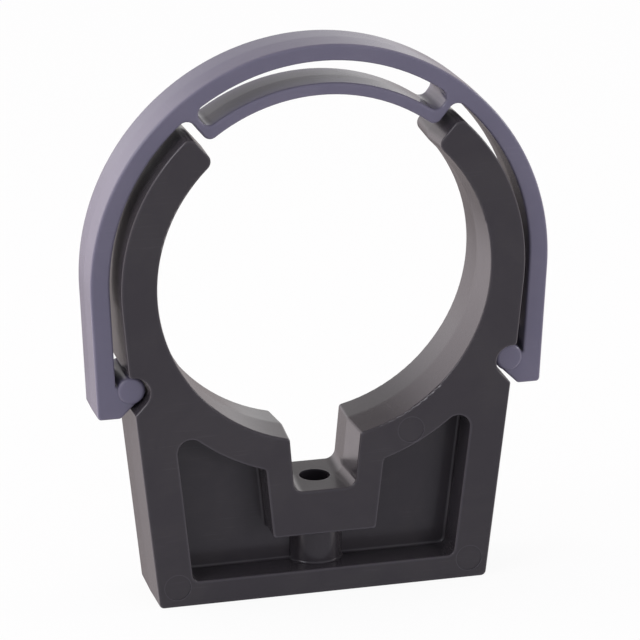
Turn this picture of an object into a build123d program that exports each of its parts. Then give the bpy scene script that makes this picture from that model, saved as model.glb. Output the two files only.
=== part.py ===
from build123d import *
import os
from math import cos, degrees, radians, sin, sqrt, tan

# Pipe clip: a moulded saddle that cradles a pipe between two arms, and a strap that snaps over it.
# Millimetres. +X runs across the clip, +Y along the pipe and +Z up from the middle of the base's underside.
# Outline sizes hold on the middle plane, where the two mould halves meet; the walls narrow from there.

# Saddle: pipe seat and arms
pipe_diameter = 75.0
seat_draft = 2.5
seat_land = 0.7
saddle_depth = 18.9
arm_wall = 8.6
arm_end_angle = 48.9
arm_tip_round = 2.1
arm_skirt_angle = 5.0

# Saddle: base
bore_to_base = 37.35
base_setback = 2.23
base_taper = 6.15
base_corner_round = 1.2
saddle_edge_round = 0.5
lip_round = 1.0

# Saddle: screw-head notch, block around it, boss below it and screw hole
notch_width = 12.8
notch_depth = 12.4
notch_draft = 5.0
notch_flare = 4.0
notch_floor_round = 2.3
notch_mouth_round = 0.8
block_side_wall = 6.6
block_floor = 10.5
block_draft = 6.0
boss_diameter = 12.6
boss_flare = 0.5
screw_hole_diameter = 7.0

# Saddle: lightening pockets either side of a thin web
web_thickness = 2.6
flank_wall = 8.5
base_wall = 5.8
rim_wall = 8.4
pocket_top_round = 3.0
pocket_bottom_round = 1.7
pocket_floor_round = 0.6
pocket_rim_round = 0.3
block_corner_round = 0.8

# Saddle: round marks left by the ejector pins on the front face
ejector_diameter = 6.0
ejector_depth = 0.15
ejector_angle = -62.0
ejector_inset = 4.8

# Draft of the outer walls, from the line where the mould halves meet
wall_draft = 1.0

# Strap grooves in the saddle's flanks and the pins that snap into them
pin_diameter = 6.3
pin_proud = 0.6
pin_end_round = 0.85
pin_core_inset = 0.05
pin_gap = 0.15
groove_clearance = 0.35
groove_drop = 23.2
groove_mouth_angle = 47.0

# Strap: hoop and legs
strap_depth = 13.2
strap_clearance = 1.6
strap_wall = 4.6
crown_shift = 0.7
leg_lean = 2.5
foot_drop = 6.6
foot_slope = 44.0
foot_round = 1.0
crotch_slope = 60.0
crotch_round = 0.25
strap_edge_round = 0.6

# Strap: pressure spring under the crown
spring_clearance = 3.3
spring_wall = 2.9
spring_end_angle = 51.3
link_wall = 1.9
link_round = 2.0
slot_end_fullness = 0.94

# Sizes that follow from those above
bore_radius = pipe_diameter / 2
axis_z = bore_to_base + bore_radius
arm_radius = bore_radius + arm_wall
notch_floor_z = bore_to_base - notch_depth
block_bottom_z = notch_floor_z - block_floor
pocket_depth = (saddle_depth - web_thickness) / 2
pin_radius = pin_diameter / 2
pin_core_radius = pin_radius - pin_core_inset
groove_radius = pin_radius + groove_clearance
groove_z = axis_z - groove_drop
strap_inner_radius = arm_radius + strap_clearance
strap_outer_radius = strap_inner_radius + strap_wall
crown_z = axis_z + crown_shift
foot_z = groove_z - foot_drop
spring_inner_radius = bore_radius + spring_clearance
spring_outer_radius = spring_inner_radius + spring_wall
slot_round = slot_end_fullness * (strap_inner_radius - spring_outer_radius) / 2


def leg_x(radius, arc_z, z):
    """Half width at a height of the leaning leg lines that leave an arc of the strap."""
    lean = radians(leg_lean)
    return (radius - (arc_z - z) * sin(lean)) / cos(lean)


# Half distance between the pins, and so between the grooves that they sit in
groove_x = leg_x(strap_inner_radius, crown_z, groove_z) - pin_gap - pin_radius


def polar(radius, angle, x=0, z=axis_z):
    """Point at a radius and an angle above the horizontal, about the pipe's axis unless told otherwise."""
    return (x + radius * cos(radians(angle)), z + radius * sin(radians(angle)))


def disc(radius, x=0, z=axis_z):
    """Round face in the clip's outline plane."""
    return Pos(x, z) * Circle(radius)


def polygon(*points):
    """Straight-sided face in the clip's outline plane."""
    return Polygon(*points, align=None)


def trapezoid(bottom_half, bottom_z, top_half, top_z):
    """Face with sloping sides, centred on the clip."""
    return polygon((-bottom_half, bottom_z), (bottom_half, bottom_z), (top_half, top_z), (-top_half, top_z))


def wedge(start_angle, reach):
    """Sector about the pipe's axis that opens upwards, between start_angle and its mirror image."""
    x, z = polar(reach, start_angle)
    return polygon((0, axis_z), (x, z), (x, z + reach), (-x, z + reach), (-x, z))


def both(points):
    """The given points and their mirror images on the other side of the clip."""
    return [(sign * x, z) for x, z in points for sign in (1, -1)]


def one_side(points, sign):
    """The given points, or for a sign of -1 their mirror images, in the same sense of turning."""
    return [(sign * x, z) for x, z in points][::sign]


def round_corners(face, points, radius):
    """Rounds the corners of a face that lie nearest to the given points."""
    corners = [face.vertices().sort_by_distance((x, z, 0))[0] for x, z in points]
    return fillet(corners, radius)


def round_edges(half, points, radius):
    """Rounds the edges of the front half nearest to the given points, beside the land and along it."""
    corners = [(x, y, z) for x, z in points for y in (-saddle_depth / 4, -seat_land / 4)]
    edges = {half.edges().sort_by_distance(corner)[0] for corner in corners}
    return fillet(edges, radius)


def front_face(solid):
    """Flat face of a solid that looks to the front."""
    return solid.faces().filter_by(Axis.Y).sort_by(Axis.Y)[0]


def drafted_half(outline, depth):
    """Front half of a moulding, which narrows from the middle plane to its front face."""
    return extrude(Plane.XZ * outline, amount=depth / 2, taper=wall_draft)


def flank_x(z):
    """Half width of the base at a height."""
    return arm_radius - base_setback + (z - groove_z) * tan(radians(base_taper))


def notch_half(z):
    """Half width of the screw-head notch at a height."""
    return notch_width / 2 + (z - notch_floor_z) * tan(radians(notch_draft))


def block_half(z):
    """Half width of the block round the notch at a height."""
    return notch_width / 2 + block_side_wall + (z - notch_floor_z) * tan(radians(block_draft))


def groove_facet():
    """Start of a groove's lower facet on its round wall, and its end on the flank."""
    angle = radians(groove_mouth_angle)
    start_x = groove_x - groove_radius * sin(angle)
    start_z = groove_z - groove_radius * cos(angle)
    run = (flank_x(start_z) - start_x) / (cos(angle) + sin(angle) * tan(radians(base_taper)))
    return (start_x, start_z), (start_x + run * cos(angle), start_z - run * sin(angle))


def groove_mouth(sign):
    """Space that a groove's lower facet leaves open."""
    start, (end_x, end_z) = groove_facet()
    points = [(groove_x, groove_z), start, (end_x, end_z), (arm_radius, end_z), (arm_radius, groove_z)]
    return polygon(*one_side(points, sign))


def saddle_outline():
    """Outline of the arms, leaning skirts and tapered base, which runs on below the base's underside."""
    skirt_x, skirt_z = polar(arm_radius, -arm_skirt_angle)
    skirt_foot_x = skirt_x - (skirt_z - groove_z) * tan(radians(arm_skirt_angle))
    outline = disc(arm_radius)
    outline += trapezoid(skirt_foot_x, groove_z, skirt_x, skirt_z)
    outline += trapezoid(flank_x(-base_wall), -base_wall, flank_x(groove_z), groove_z)
    outline -= wedge(arm_end_angle, 2 * arm_radius)
    for sign in (1, -1):
        outline -= disc(groove_radius, sign * groove_x, groove_z)
        outline -= groove_mouth(sign)

    groove_lip = (skirt_foot_x, groove_z + groove_radius)
    shoulder = groove_facet()[1]
    outline = round_corners(outline, both([polar(arm_radius, arm_end_angle)]), arm_tip_round)
    return round_corners(outline, both([groove_lip, shoulder]), lip_round)


def seat_cutter():
    """Round body about the pipe's axis: a straight land in the middle, then a cone to the front."""
    land_y = -seat_land / 2
    mouth_y = -saddle_depth
    mouth_radius = bore_radius + (land_y - mouth_y) * tan(radians(seat_draft))
    half = polygon((0, 0), (0, mouth_y), (mouth_radius, mouth_y), (bore_radius, land_y), (bore_radius, 0))
    return Pos(0, 0, axis_z) * revolve(half, Axis.Y)


def notch_section(widening):
    """Outline of the screw-head notch, wider on each side by a given amount."""
    floor_half = notch_half(notch_floor_z) + widening
    section = trapezoid(floor_half, notch_floor_z, notch_half(axis_z) + widening, axis_z)
    return round_corners(section, both([(floor_half, notch_floor_z)]), notch_floor_round)


def notch_cutter():
    """Notch in the front half, which flares from the middle plane to the front."""
    widening = saddle_depth * tan(radians(notch_flare))
    front = Plane.XZ.offset(saddle_depth)
    return loft([Plane.XZ * notch_section(0).face(), front * notch_section(widening).face()], ruled=True)


def shape_base(half):
    """Cuts the underside flat, the pipe seat and the notch, and rounds the corners that they leave."""
    half -= Pos(0, 0, -base_wall) * Box(4 * arm_radius, 2 * saddle_depth, 2 * base_wall)
    half -= seat_cutter()
    half -= notch_cutter()
    tip = polar(bore_radius, arm_end_angle)
    mouth_x = notch_half(bore_to_base)
    mouth = (mouth_x, axis_z - sqrt(bore_radius ** 2 - mouth_x ** 2))
    half = round_edges(half, both([tip]), arm_tip_round)
    half = round_edges(half, both([mouth]), notch_mouth_round)
    return round_edges(half, both([(flank_x(0), 0)]), base_corner_round)


def pocket_outline():
    """Outline of a pocket: inside the flanks, above the base wall, under the pipe seat, round the block."""
    outline = trapezoid(flank_x(base_wall) - flank_wall, base_wall, flank_x(groove_z) - flank_wall, groove_z)
    outline -= disc(bore_radius + rim_wall)
    outline -= trapezoid(block_half(block_bottom_z), block_bottom_z, block_half(groove_z), groove_z)

    rim_radius = bore_radius + rim_wall
    top_x = flank_x(groove_z) - flank_wall
    top = (top_x, axis_z - sqrt(rim_radius ** 2 - top_x ** 2))
    bottom = (flank_x(base_wall) - flank_wall, base_wall)
    block_top_x = block_half(axis_z - rim_radius)
    block_top = (block_top_x, axis_z - sqrt(rim_radius ** 2 - block_top_x ** 2))
    block_bottom = (block_half(block_bottom_z), block_bottom_z)
    outline = round_corners(outline, both([top]), pocket_top_round)
    outline = round_corners(outline, both([bottom]), pocket_bottom_round)
    return round_corners(outline, both([block_top, block_bottom]), block_corner_round)


def pocket_cutter():
    """Solid that cuts the front pocket, rounded where its walls meet the web."""
    cutter = extrude(Plane.XZ.offset(web_thickness / 2) * pocket_outline(), amount=pocket_depth)
    floor_edges = cutter.faces().sort_by(Axis.Y)[-1].edges()
    return fillet(floor_edges, pocket_floor_round)


def screw_boss():
    """Round boss between the block and the base wall, flared where it meets the wall."""
    radius = boss_diameter / 2
    root_z = base_wall / 2
    top_z = (block_bottom_z + notch_floor_z) / 2
    flare_x = radius + boss_flare
    flare_z = base_wall + boss_flare
    half = polygon((0, root_z), (flare_x, root_z), (flare_x, flare_z), (radius, flare_z), (radius, top_z),
                   (0, top_z))
    half -= disc(boss_flare, flare_x, flare_z)
    return revolve(Plane.XZ * half, Axis.Z)


def ejector_marks():
    """Shallow round marks on the front face: at the base's corners and on the rim of the pipe seat."""
    corner = (flank_x(ejector_inset) - ejector_inset, ejector_inset)
    rim = polar(bore_radius + ejector_inset, ejector_angle)
    front = Plane.XZ.offset(saddle_depth / 2)
    marks = [front * disc(ejector_diameter / 2, x, z) for x, z in both([corner]) + [rim]]
    return [extrude(mark, amount=-ejector_depth) for mark in marks]


def saddle_half():
    """Front half of the saddle, with its pocket."""
    half = shape_base(drafted_half(saddle_outline(), saddle_depth))
    half = fillet(front_face(half).edges(), saddle_edge_round)
    half -= pocket_cutter()
    return fillet(front_face(half).inner_wires()[0].edges(), pocket_rim_round)


def make_saddle_body():
    """The moulded saddle."""
    half = saddle_half()
    body = half + mirror(half, about=Plane.XZ) + screw_boss()
    body -= Pos(0, 0, notch_floor_z / 2) * Cylinder(screw_hole_diameter / 2, 2 * notch_floor_z)
    for mark in ejector_marks():
        body -= mark
    return body


def leg_outer_x(z):
    """Half width over the strap's legs at a height."""
    return leg_x(strap_outer_radius, axis_z, z)


def leg_inner_x(z):
    """Half width between the strap's legs at a height."""
    return leg_x(strap_inner_radius, crown_z, z)


def strap_hoop():
    """Outline of the hoop and its straight legs, cut off flat at the feet."""
    outer_x, outer_z = polar(strap_outer_radius, -leg_lean)
    inner_x, inner_z = polar(strap_inner_radius, -leg_lean, z=crown_z)
    reach = 2 * strap_outer_radius
    hoop = disc(strap_outer_radius) + trapezoid(leg_outer_x(foot_z), foot_z, outer_x, outer_z)
    hoop -= disc(strap_inner_radius, z=crown_z) + trapezoid(leg_inner_x(foot_z), foot_z, inner_x, inner_z)
    hoop -= trapezoid(reach, foot_z - reach, reach, foot_z)
    return round_corners(hoop, both([(leg_outer_x(foot_z), foot_z)]), foot_round)


def spring_slot():
    """Rounded slot between the hoop and the spring."""
    slot_end_angle = spring_end_angle + degrees(link_wall / spring_outer_radius)
    slot = disc(strap_inner_radius, z=crown_z) - disc(spring_outer_radius)
    slot &= wedge(slot_end_angle, 2 * strap_outer_radius)
    ends = [polar(spring_outer_radius, slot_end_angle), polar(strap_inner_radius, slot_end_angle, z=crown_z)]
    return round_corners(slot, both(ends), slot_round)


def foot_slope_ends():
    """Ends of a foot's sloping underside: on the core of its pin, and at the heel of its flat end."""
    angle = radians(foot_slope)
    x, z = groove_x - pin_core_radius * sin(angle), groove_z - pin_core_radius * cos(angle)
    return (x, z), (x + (z - foot_z) / tan(angle), foot_z)


def strap_foot(sign):
    """Web that joins a leg's end to its pin, and the space that its sloping underside leaves open."""
    under, heel = foot_slope_ends()
    angle = radians(crotch_slope)
    over = (groove_x + pin_core_radius * sin(angle), groove_z + pin_core_radius * cos(angle))
    leg_x = leg_inner_x(groove_z) + strap_wall / 2
    leg_z = over[1] - (leg_x - over[0]) * tan(angle)
    space_z = foot_z - pin_radius
    web = [over, (groove_x, groove_z), under, heel, (leg_x, foot_z), (leg_x, leg_z)]
    space = [under, heel, (heel[0], space_z), (under[0], space_z)]
    return [polygon(*one_side(points, sign)) for points in (web, space)]


def strap_outline():
    """Outline of the strap: hoop, legs, feet, the cores of the pins, and the spring with its links."""
    spring_pad = disc(strap_inner_radius + strap_wall / 2) - disc(spring_inner_radius)
    spring_pad &= wedge(spring_end_angle, 2 * strap_outer_radius)
    outline = strap_hoop() + spring_pad - spring_slot()
    for sign in (1, -1):
        foot_web, foot_space = strap_foot(sign)
        outline += foot_web
        outline += disc(pin_core_radius, sign * groove_x, groove_z)
        outline -= foot_space
    link_foot = polar(spring_inner_radius, spring_end_angle)
    link_root = polar(strap_inner_radius, spring_end_angle, z=crown_z)
    crotch = (leg_inner_x(groove_z), groove_z)
    heel = foot_slope_ends()[1]
    outline = round_corners(outline, both([link_foot, link_root]), link_round)
    outline = round_corners(outline, both([crotch]), crotch_round)
    return round_corners(outline, both([heel]), foot_round)


def end_pin(sign):
    """Pin on a leg's end, a little longer than the strap is deep."""
    end = Plane.XZ * disc(pin_radius, sign * groove_x, groove_z)
    pin = extrude(end, amount=strap_depth / 2 + pin_proud, both=True)
    return fillet(pin.edges().filter_by(GeomType.CIRCLE), pin_end_round)


def make_retaining_strap():
    """The moulded strap."""
    half = drafted_half(strap_outline(), strap_depth)
    half = fillet(front_face(half).edges(), strap_edge_round)
    strap = half + mirror(half, about=Plane.XZ)
    for sign in (1, -1):
        strap += end_pin(sign)
    return strap


os.makedirs("parts", exist_ok=True)
export_step(make_saddle_body(), "parts/saddle_body.step")
export_step(make_retaining_strap(), "parts/retaining_strap.step")
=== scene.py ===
import math
from typing import NamedTuple

import bpy
from bpy.props import FloatProperty, FloatVectorProperty, PointerProperty
from bpy.types import Operator, Panel, PropertyGroup
from mathutils import Matrix, Vector


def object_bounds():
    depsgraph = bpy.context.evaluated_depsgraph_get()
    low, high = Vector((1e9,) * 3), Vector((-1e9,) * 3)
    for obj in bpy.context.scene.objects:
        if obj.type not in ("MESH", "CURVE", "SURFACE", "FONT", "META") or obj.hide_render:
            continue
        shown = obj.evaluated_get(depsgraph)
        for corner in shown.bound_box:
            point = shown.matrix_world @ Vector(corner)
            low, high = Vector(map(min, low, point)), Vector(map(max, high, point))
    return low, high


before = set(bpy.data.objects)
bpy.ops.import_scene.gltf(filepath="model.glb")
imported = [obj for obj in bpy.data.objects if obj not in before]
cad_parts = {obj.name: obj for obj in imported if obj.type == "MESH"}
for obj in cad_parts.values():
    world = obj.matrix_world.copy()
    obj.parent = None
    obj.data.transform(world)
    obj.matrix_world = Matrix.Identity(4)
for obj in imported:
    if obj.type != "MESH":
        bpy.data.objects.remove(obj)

bl_info = {
    "name": "Pipe Clip",
    "version": (1, 0, 0),
    "blender": (4, 5, 0),
    "location": "View3D > Sidebar > Pipe Clip",
    "description": "Gives a moulded pipe clip its plastics and a white photo stage",
    "category": "Object",
}

CAD_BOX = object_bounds()
WHITE = (1.0, 1.0, 1.0, 1.0)
FLOOR_PAINT = (0.86, 0.86, 0.86, 1.0)
SENSOR_WIDTH = 36.0  # millimetres, as Blender gives it

# Values at which a pattern of the plastics starts to show, and at which it shows in full
FLOW_CLOUDS = (0.35, 0.65)
RUBBED_AREAS = (0.46, 0.60)
RUB_STREAKS = (0.60, 0.72)
# Outer edges: painted paler, partly as wear and partly as a painted highlight.
OUTER_EDGES = (0.95, 0.55)
PATTERN_MEAN = 0.5
MARK_ROUGHNESS = 2  # times what a flow cloud adds

# Steps of the room's walls, each along one axis of the direction that is looked in: x to the right,
# y to the back, z up. A wall starts at the first value and is full at the second.
LEFT_WALL_X = (-0.05, -0.60)
RIGHT_WALL_X = (0.20, 0.80)
SIDE_WALLS_Y = (-0.60, -0.10)
BACK_WALL_Y = (-0.30, 0.60)
BACKDROP_FOOT_Z = (-0.15, 0.05)
BACKDROP_TOP_Z = (0.58, 0.08)
CEILING_Z = (0.0, 0.6)


class Value:
    """A number in a node tree. Arithmetic on it adds Math nodes."""

    def __init__(self, graph, socket):
        self.graph = graph
        self.socket = socket

    def _math(self, operation, first, second):
        settings = {"operation": operation}
        return self.graph.value("ShaderNodeMath", settings, {0: first, 1: second}, 0)

    def __add__(self, other):
        return self._math("ADD", self, other)

    def __radd__(self, other):
        return self._math("ADD", other, self)

    def __sub__(self, other):
        return self._math("SUBTRACT", self, other)

    def __mul__(self, other):
        return self._math("MULTIPLY", self, other)

    def __rmul__(self, other):
        return self._math("MULTIPLY", other, self)


class Graph:
    """A node tree that is filled one node at a time."""

    def __init__(self, tree):
        self.tree = tree
        tree.nodes.clear()

    def node(self, kind, settings=None, sockets=None):
        """Adds a node, sets its settings, then gives its sockets their values or links."""
        node = self.tree.nodes.new(kind)
        for name, setting in (settings or {}).items():
            setattr(node, name, setting)
        for name, value in (sockets or {}).items():
            if isinstance(value, Value):
                value = value.socket
            if isinstance(value, bpy.types.NodeSocket):
                self.tree.links.new(value, node.inputs[name])
            else:
                node.inputs[name].default_value = value
        return node

    def value(self, kind, settings, sockets, output):
        """Adds a node and returns one of its outputs as a number."""
        return Value(self, self.node(kind, settings, sockets).outputs[output])

    def noise(self, place, size, detail, roughness, distortion=0.0):
        """Number that differs from place to place, in patches of about a size."""
        sockets = {
            "Vector": place, "Scale": 1 / size, "Detail": detail, "Roughness": roughness,
            "Distortion": distortion,
        }
        return self.value("ShaderNodeTexNoise", {}, sockets, "Fac")

    def blend(self, share, first, second):
        """Colour between two colours."""
        sockets = {0: share, 6: first, 7: second}
        return self.node("ShaderNodeMix", {"data_type": "RGBA"}, sockets).outputs[2]

    def ease(self, value, step):
        """Number that goes smoothly from 0 to 1 as a value goes from a step's start to its end."""
        low, high = step
        settings = {"interpolation_type": "SMOOTHSTEP"}
        return self.value("ShaderNodeMapRange", settings, {0: value, 1: low, 2: high}, 0)


def opaque(colour):
    """Colour with full alpha."""
    return (*colour, 1.0)


class PlasticFinish:
    """What both plastics of the clip have."""

    roughness: FloatProperty(
        name="Roughness", description="Roughness of the satin surface",
        default=0.21, min=0.0, max=1.0, subtype="FACTOR")
    gloss_change: FloatProperty(
        name="Gloss change", description="How much the roughness differs over the surface",
        default=0.06, min=0.0, max=0.5, subtype="FACTOR")
    ior: FloatProperty(
        name="IOR", description="Refractive index of the plastic",
        default=1.5, min=1.0, max=2.0)
    flow_size: FloatProperty(
        name="Flow size", description="Size of the soft flow clouds",
        default=0.014, min=0.001, unit="LENGTH")
    grain_size: FloatProperty(
        name="Grain size", description="Size of the mould's spark grain",
        default=0.0003, min=0.00005, unit="LENGTH")
    grain_depth: FloatProperty(
        name="Grain depth", description="Height of the mould's spark grain",
        default=0.000004, min=0.0, unit="LENGTH")
    # How strongly the outer edges are painted paler: partly as wear and partly as a painted
    # highlight.
    edge_wear_and_highlight: FloatProperty(
        name="Edge rubbing", description="How strongly the outer edges are rubbed pale",
        default=0.8, min=0.0, max=1.0, subtype="FACTOR")
    # Width of the pale edges, which are partly wear and partly a painted highlight.
    edge_width: FloatProperty(
        name="Edge width", description="Width of the rubbed edges",
        default=0.0008, min=0.0001, unit="LENGTH")
    rubbing: FloatProperty(
        name="Rubbing", description="How strongly the rub marks show",
        default=0.12, min=0.0, max=1.0, subtype="FACTOR")
    rub_length: FloatProperty(
        name="Rub length", description="Length of the rub marks",
        default=0.009, min=0.001, unit="LENGTH")
    rub_width: FloatProperty(
        name="Rub width", description="Width of the rub marks",
        default=0.0004, min=0.0001, unit="LENGTH")
    rub_slant: FloatProperty(
        name="Rub slant", description="Slant of the rub marks across the clip",
        default=math.radians(24), subtype="ANGLE")


class SaddleFinish(PlasticFinish, PropertyGroup):
    """Black plastic of the saddle."""

    colour: FloatVectorProperty(
        name="Colour", description="Colour of the saddle",
        default=(0.034, 0.030, 0.035), min=0.0, max=1.0, subtype="COLOR")
    flow_colour: FloatVectorProperty(
        name="Flow colour", description="Colour of the saddle's flow clouds",
        default=(0.038, 0.034, 0.038), min=0.0, max=1.0, subtype="COLOR")
    # Colour of the rub marks, which are wear, and of the pale edges, which are partly wear and
    # partly a painted highlight.
    wear_and_highlight_colour: FloatVectorProperty(
        name="Rub colour", description="Colour of the saddle's rubbed edges and rub marks",
        default=(0.075, 0.070, 0.082), min=0.0, max=1.0, subtype="COLOR")


class StrapFinish(PlasticFinish, PropertyGroup):
    """Blue-grey plastic of the strap."""

    colour: FloatVectorProperty(
        name="Colour", description="Colour of the strap",
        default=(0.121, 0.114, 0.164), min=0.0, max=1.0, subtype="COLOR")
    flow_colour: FloatVectorProperty(
        name="Flow colour", description="Colour of the strap's flow clouds",
        default=(0.129, 0.121, 0.171), min=0.0, max=1.0, subtype="COLOR")
    # Colour of the rub marks, which are wear, and of the pale edges, which are partly wear and
    # partly a painted highlight.
    wear_and_highlight_colour: FloatVectorProperty(
        name="Rub colour", description="Colour of the strap's rubbed edges and rub marks",
        default=(0.185, 0.176, 0.232), min=0.0, max=1.0, subtype="COLOR")


class StudioSetup(PropertyGroup):
    """Camera, light and floor of the photo stage."""

    aim: FloatVectorProperty(
        name="Aim", description="Point that the camera looks at",
        default=(0.001141, 0.0, 0.061946), subtype="TRANSLATION", unit="LENGTH", precision=6)
    distance: FloatProperty(
        name="Distance", description="From the camera to the aim",
        default=0.79615, min=0.1, unit="LENGTH")
    azimuth: FloatProperty(
        name="Azimuth", description="Angle of the camera about the vertical",
        default=math.radians(-15.256), subtype="ANGLE")
    elevation: FloatProperty(
        name="Elevation", description="Angle of the camera above the floor",
        default=math.radians(19.3455), subtype="ANGLE")
    roll: FloatProperty(
        name="Roll", description="Tilt of the camera",
        default=math.radians(0.2601), subtype="ANGLE")
    lens: FloatProperty(
        name="Lens", description="Focal length of the camera",
        default=200.9, min=1.0, unit="CAMERA")
    camera_side: FloatVectorProperty(
        name="Camera side", description="Light from the dim side of the room, behind the camera",
        default=(0.36, 0.36, 0.40), min=0.0, max=2.0, subtype="COLOR")
    back_wall: FloatVectorProperty(
        name="Back wall", description="Light from the dim wall behind the clip",
        default=(0.36, 0.32, 0.32), min=0.0, max=2.0, subtype="COLOR")
    left_wall: FloatVectorProperty(
        name="Left wall", description="Light from the pale wall on the left",
        default=(1.78, 1.63, 1.68), min=0.0, max=4.0, subtype="COLOR")
    right_wall: FloatVectorProperty(
        name="Right wall", description="Light from the pale wall on the right",
        default=(1.20, 1.11, 1.13), min=0.0, max=4.0, subtype="COLOR")
    ceiling: FloatProperty(
        name="Ceiling", description="How much the room pales towards its ceiling",
        default=0.10, min=0.0, max=1.0, subtype="FACTOR")
    key_power: FloatProperty(
        name="Key power", description="Power of the soft lamp on the right of the camera",
        default=4.7, min=0.0, unit="POWER")
    fill_power: FloatProperty(
        name="Fill power", description="Power of the soft lamp on the left of the clip",
        default=4.4, min=0.0, unit="POWER")
    window_power: FloatProperty(
        name="Window power", description="Power of each small window lamp that edges mirror",
        default=1.5, min=0.0, unit="POWER")
    floor_size: FloatProperty(
        name="Floor size", description="Length of the floor's side",
        default=12.0, min=1.0, unit="LENGTH")
    shadow: FloatProperty(
        name="Shadow", description="How much of the object's shadow the floor shows",
        default=0.08, min=0.0, max=1.0, subtype="FACTOR")


class Lamp(NamedTuple):
    """A square soft lamp of the stage. Its power is one of the studio's settings."""

    name: str
    place: tuple
    size: float
    power: str
    colour: tuple = (1.0, 1.0, 1.0)
    mirrored: bool = False


LAMPS = (
    Lamp("key_lamp", (0.66, -1.0, 0.18), 0.5, "key_power"),
    Lamp("fill_lamp", (-1.0, 0.15, 0.22), 0.4, "fill_power"),
    Lamp("right_window", (0.93, -0.04, 0.41), 0.26, "window_power", mirrored=True),
    Lamp("left_window", (-0.72, -0.39, 0.61), 0.30, "window_power", (0.90, 0.93, 1.0), True),
)


def worn_and_highlit_edges(graph, finish):
    """Number that is 1 along the outer edges, where little plastic lies under the surface, so that
    they can be painted paler: partly as wear and partly as a painted highlight.
    """
    settings = {"inside": True, "only_local": True, "samples": 16}
    sockets = {"Distance": finish.edge_width}
    depth = graph.value("ShaderNodeAmbientOcclusion", settings, sockets, "AO")
    return graph.ease(depth, OUTER_EDGES)


def rub_streaks(graph, finish, place):
    """Number that is 1 on thin slanting streaks."""
    along = graph.node("ShaderNodeMapping", {}, {
        "Vector": place,
        "Rotation": (0.0, finish.rub_slant, 0.0),
        "Scale": (1 / finish.rub_length, 1 / finish.rub_length, 1 / finish.rub_width),
    })
    streaks = graph.noise(along.outputs[0], size=1.0, detail=1.0, roughness=0.4)
    return graph.ease(streaks, RUB_STREAKS)


def moulded_plastic(name, finish):
    """Satin plastic with flow clouds, the mould's spark grain, edges painted paler as wear and as a
    painted highlight, and faint rub marks.
    """
    material = bpy.data.materials.new(name)
    material.use_nodes = True
    graph = Graph(material.node_tree)
    place = graph.node("ShaderNodeTexCoord").outputs["Object"]

    clouds = graph.noise(place, finish.flow_size, detail=3.0, roughness=0.55, distortion=0.6)
    grain = graph.noise(place, finish.grain_size, detail=2.0, roughness=0.6)
    flow = graph.ease(clouds, FLOW_CLOUDS)
    # Outer edges are painted paler: partly wear, partly a painted highlight along the rounds.
    edges = worn_and_highlit_edges(graph, finish) * finish.edge_wear_and_highlight
    marks = rub_streaks(graph, finish, place) * graph.ease(clouds, RUBBED_AREAS) * finish.rubbing

    colour = graph.blend(flow, opaque(finish.colour), opaque(finish.flow_colour))
    # The pale colour is wear on the rub marks; on the edges it is partly wear and partly a painted
    # highlight.
    colour = graph.blend(marks + edges, colour, opaque(finish.wear_and_highlight_colour))
    unevenness = (flow - PATTERN_MEAN) + (grain - PATTERN_MEAN) + MARK_ROUGHNESS * marks
    roughness = finish.roughness + finish.gloss_change * unevenness
    bump = graph.node("ShaderNodeBump", {}, {
        "Strength": 1.0, "Distance": finish.grain_depth, "Height": grain,
    })
    shader = graph.node("ShaderNodeBsdfPrincipled", {}, {
        "Base Color": colour, "Roughness": roughness, "IOR": finish.ior, "Normal": bump.outputs[0],
    })
    graph.node("ShaderNodeOutputMaterial", {}, {"Surface": shader.outputs[0]})
    return material


def dress(node, material):
    """Gives a CAD node a material in all of its slots."""
    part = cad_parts.get(node)
    if part is None:
        raise RuntimeError(f"the frame has no node named {node}")
    if not part.material_slots:
        raise RuntimeError(f"{node} has no material slot")
    for slot in part.material_slots:
        slot.material = material


class CLIP_OT_dress_saddle(Operator):
    """Gives the saddle its black satin plastic"""

    bl_idname = "clip.dress_saddle"
    bl_label = "Dress saddle"

    def execute(self, context):
        dress("saddle_body", moulded_plastic("saddle_plastic", context.scene.clip_saddle))
        return {"FINISHED"}


class CLIP_OT_dress_strap(Operator):
    """Gives the strap its blue-grey satin plastic"""

    bl_idname = "clip.dress_strap"
    bl_label = "Dress strap"

    def execute(self, context):
        dress("retaining_strap", moulded_plastic("strap_plastic", context.scene.clip_strap))
        return {"FINISHED"}


def ray_kinds(graph):
    """1 for rays straight from the camera, and 1 for rays by way of a glossy or clear surface."""
    path = graph.node("ShaderNodeLightPath")
    kinds = ("Is Camera Ray", "Is Glossy Ray", "Is Transmission Ray")
    camera, glossy, clear = (Value(graph, path.outputs[kind]) for kind in kinds)
    return camera, glossy + clear


def paint_world(studio):
    """White to the camera. To the clip it is a room: pale walls left and right, dim ones in front
    and behind, and a white backdrop behind that reflections show and that fades upwards."""
    world = bpy.data.worlds.new("studio_room")
    world.use_nodes = True
    graph = Graph(world.node_tree)
    direction = graph.node("ShaderNodeTexCoord").outputs["Generated"]
    axes = graph.node("ShaderNodeSeparateXYZ", {}, {0: direction}).outputs
    x, y, z = (Value(graph, axis) for axis in axes)
    camera, mirrored = ray_kinds(graph)

    beside = graph.ease(y, SIDE_WALLS_Y)
    left = graph.ease(x, LEFT_WALL_X) * beside
    right = graph.ease(x, RIGHT_WALL_X) * beside
    sweep = graph.ease(z, BACKDROP_FOOT_Z) * graph.ease(z, BACKDROP_TOP_Z)
    back = graph.blend(mirrored * sweep, opaque(studio.back_wall), WHITE)
    room = graph.blend(graph.ease(y, BACK_WALL_Y), opaque(studio.camera_side), back)
    room = graph.blend(graph.ease(z, CEILING_Z) * studio.ceiling, room, WHITE)
    room = graph.blend(left, room, opaque(studio.left_wall))
    room = graph.blend(right, room, opaque(studio.right_wall))
    colour = graph.blend(camera, room, WHITE)
    background = graph.node("ShaderNodeBackground", {}, {"Color": colour, "Strength": 1.0})
    graph.node("ShaderNodeOutputWorld", {}, {"Surface": background.outputs[0]})
    return world


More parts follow.
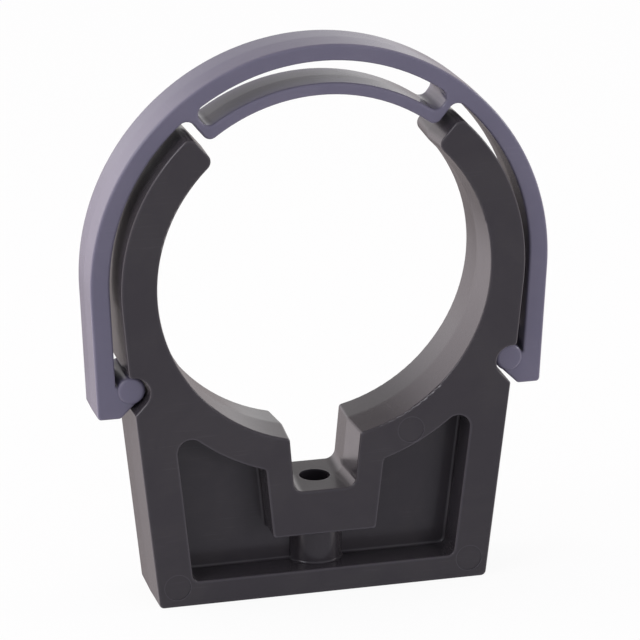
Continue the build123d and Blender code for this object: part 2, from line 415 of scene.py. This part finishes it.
def floor_paint(studio):
    """Pale floor that looks white and keeps the object's shadow."""
    material = bpy.data.materials.new("white_floor")
    material.use_nodes = True
    graph = Graph(material.node_tree)
    matt = graph.node("ShaderNodeBsdfDiffuse", {}, {"Color": FLOOR_PAINT})
    glow = graph.node("ShaderNodeEmission", {}, {"Color": WHITE, "Strength": 1.0})
    camera, mirrored = ray_kinds(graph)
    white = (camera + mirrored) * (1 - studio.shadow)
    surface = graph.node("ShaderNodeMixShader", {}, {
        0: white, 1: matt.outputs[0], 2: glow.outputs[0],
    })
    graph.node("ShaderNodeOutputMaterial", {}, {"Surface": surface.outputs[0]})
    return material


def lay_floor(studio):
    """Wide white floor. Glossy surfaces don't mirror it, so the front faces stay dark."""
    bpy.ops.object.select_all(action="DESELECT")
    bpy.ops.mesh.primitive_plane_add(size=studio.floor_size, location=(0.0, 0.0, 0.0))
    floor = bpy.context.active_object
    floor.name = "floor"
    floor.data.materials.append(floor_paint(studio))
    floor.visible_glossy = False


def hang_lamp(lamp, target, power):
    """Hangs a lamp that points at a target. The camera doesn't see it."""
    light = bpy.data.lights.new(lamp.name, "AREA")
    light.color = lamp.colour
    light.size = lamp.size
    light.energy = power
    holder = bpy.data.objects.new(lamp.name, light)
    holder.location = lamp.place
    holder.rotation_mode = "QUATERNION"
    holder.rotation_quaternion = (target - Vector(lamp.place)).to_track_quat("-Z", "Y")
    holder.visible_camera = False
    holder.visible_glossy = lamp.mirrored
    bpy.context.scene.collection.objects.link(holder)


def place_camera(studio):
    """Camera at the photograph's angle."""
    azimuth, elevation, roll = studio.azimuth, studio.elevation, studio.roll
    back = Vector((
        math.sin(azimuth) * math.cos(elevation),
        -math.cos(azimuth) * math.cos(elevation),
        math.sin(elevation),
    ))
    right = Vector((math.cos(azimuth), math.sin(azimuth), 0.0))
    up = right.cross(-back)
    side = right * math.cos(roll) + up * math.sin(roll)
    top = up * math.cos(roll) - right * math.sin(roll)
    lens = bpy.data.cameras.new("photo_camera")
    lens.lens = studio.lens
    lens.sensor_width = SENSOR_WIDTH
    camera = bpy.data.objects.new("photo_camera", lens)
    place = Matrix.Translation(Vector(studio.aim) + back * studio.distance)
    camera.matrix_world = place @ Matrix((side, top, back)).transposed().to_4x4()
    bpy.context.scene.collection.objects.link(camera)
    bpy.context.scene.camera = camera


class CLIP_OT_build_stage(Operator):
    """Lays the white floor and sets the surroundings, the lamps and the camera"""

    bl_idname = "clip.build_stage"
    bl_label = "Build stage"

    def execute(self, context):
        scene = context.scene
        studio = scene.clip_studio
        scene.world = paint_world(studio)
        scene.view_settings.view_transform = "Standard"
        lay_floor(studio)
        low, high = CAD_BOX
        for lamp in LAMPS:
            hang_lamp(lamp, (low + high) / 2, getattr(studio, lamp.power))
        place_camera(studio)
        return {"FINISHED"}


class CLIP_PT_panel(Panel):
    """Finishes, stage and steps of the pipe clip"""

    bl_idname = "CLIP_PT_panel"
    bl_label = "Pipe Clip"
    bl_space_type = "VIEW_3D"
    bl_region_type = "UI"
    bl_category = "Pipe Clip"

    def draw(self, context):
        scene = context.scene
        steps = (
            (scene.clip_saddle, CLIP_OT_dress_saddle),
            (scene.clip_strap, CLIP_OT_dress_strap),
            (scene.clip_studio, CLIP_OT_build_stage),
        )
        for settings, step in steps:
            box = self.layout.box()
            for name in settings.bl_rna.properties.keys():
                if name not in ("rna_type", "name"):
                    box.prop(settings, name)
            box.operator(step.bl_idname)


CLASSES = (
    SaddleFinish,
    StrapFinish,
    StudioSetup,
    CLIP_OT_dress_saddle,
    CLIP_OT_dress_strap,
    CLIP_OT_build_stage,
    CLIP_PT_panel,
)


def register():
    for cls in CLASSES:
        bpy.utils.register_class(cls)
    bpy.types.Scene.clip_saddle = PointerProperty(type=SaddleFinish)
    bpy.types.Scene.clip_strap = PointerProperty(type=StrapFinish)
    bpy.types.Scene.clip_studio = PointerProperty(type=StudioSetup)


def unregister():
    del bpy.types.Scene.clip_studio
    del bpy.types.Scene.clip_strap
    del bpy.types.Scene.clip_saddle
    for cls in reversed(CLASSES):
        bpy.utils.unregister_class(cls)


def main():
    register()
    bpy.ops.clip.dress_saddle()
    bpy.ops.clip.dress_strap()
    bpy.ops.clip.build_stage()


if __name__ == "__main__":
    main()
